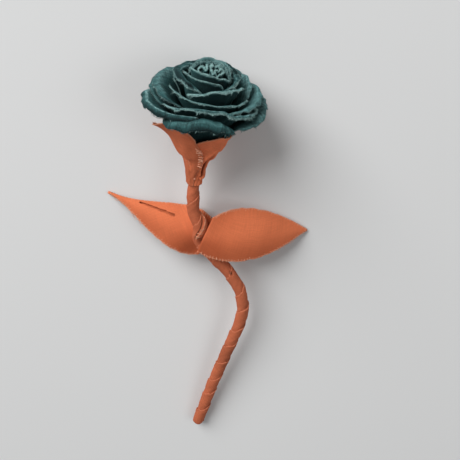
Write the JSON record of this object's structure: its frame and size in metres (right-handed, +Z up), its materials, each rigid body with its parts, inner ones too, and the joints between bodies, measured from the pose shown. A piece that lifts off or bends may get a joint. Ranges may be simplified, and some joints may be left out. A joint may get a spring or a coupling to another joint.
{
  "type": "fabric rose",
  "caption": "Sewn linen rose with nested petals curled at their frayed rims, a wrapped cloth calyx, stitched leaves and a bent, cloth-wrapped wire stem, lying on its back.",
  "frame": {"origin": "middle of the bounding box on the surface the rose lies on", "axes": "+Z up from that surface, +Y along the rose from the foot of its stem to its flower, +X to the right as the open flower is seen from above; the rose lies on its back"},
  "size_m": [0.106, 0.2148, 0.0581],
  "materials": {
    "petal_linen": "matt woven linen, raw frayed edges",
    "leaf_linen": "matt woven linen, whip-stitched edges",
    "stem_linen": "matt woven linen strip and calyx, raw edges",
    "wire": "plain annealed wire, seen only at the cut foot"
  },
  "bodies": {
    "root": {"centre_roll": "petal_linen", "petal_back_left": "petal_linen", "petal_back_right": "petal_linen", "petal_bud_back": "petal_linen", "petal_bud_front": "petal_linen", "petal_bud_left": "petal_linen", "petal_folded_left": "petal_linen", "petal_front_band": "petal_linen", "petal_front_middle": "petal_linen", "petal_front_outer": "petal_linen", "petal_hood": "petal_linen", "petal_inner_back": "petal_linen", "petal_inner_right": "petal_linen", "petal_left_band": "petal_linen", "petal_left_face": "petal_linen", "petal_left_outer": "petal_linen", "petal_lower_front": "petal_linen", "petal_middle_back": "petal_linen", "petal_outer_back": "petal_linen", "petal_right_middle": "petal_linen", "petal_right_outer": "petal_linen", "petal_right_small": "petal_linen", "calyx": "stem_linen", "stem_wrap": "stem_linen", "leaf_left_back": "leaf_linen", "leaf_left_front": "leaf_linen", "leaf_right_back": "leaf_linen", "leaf_right_front": "leaf_linen", "stem_wire": "wire"}
  },
  "joints": []
}
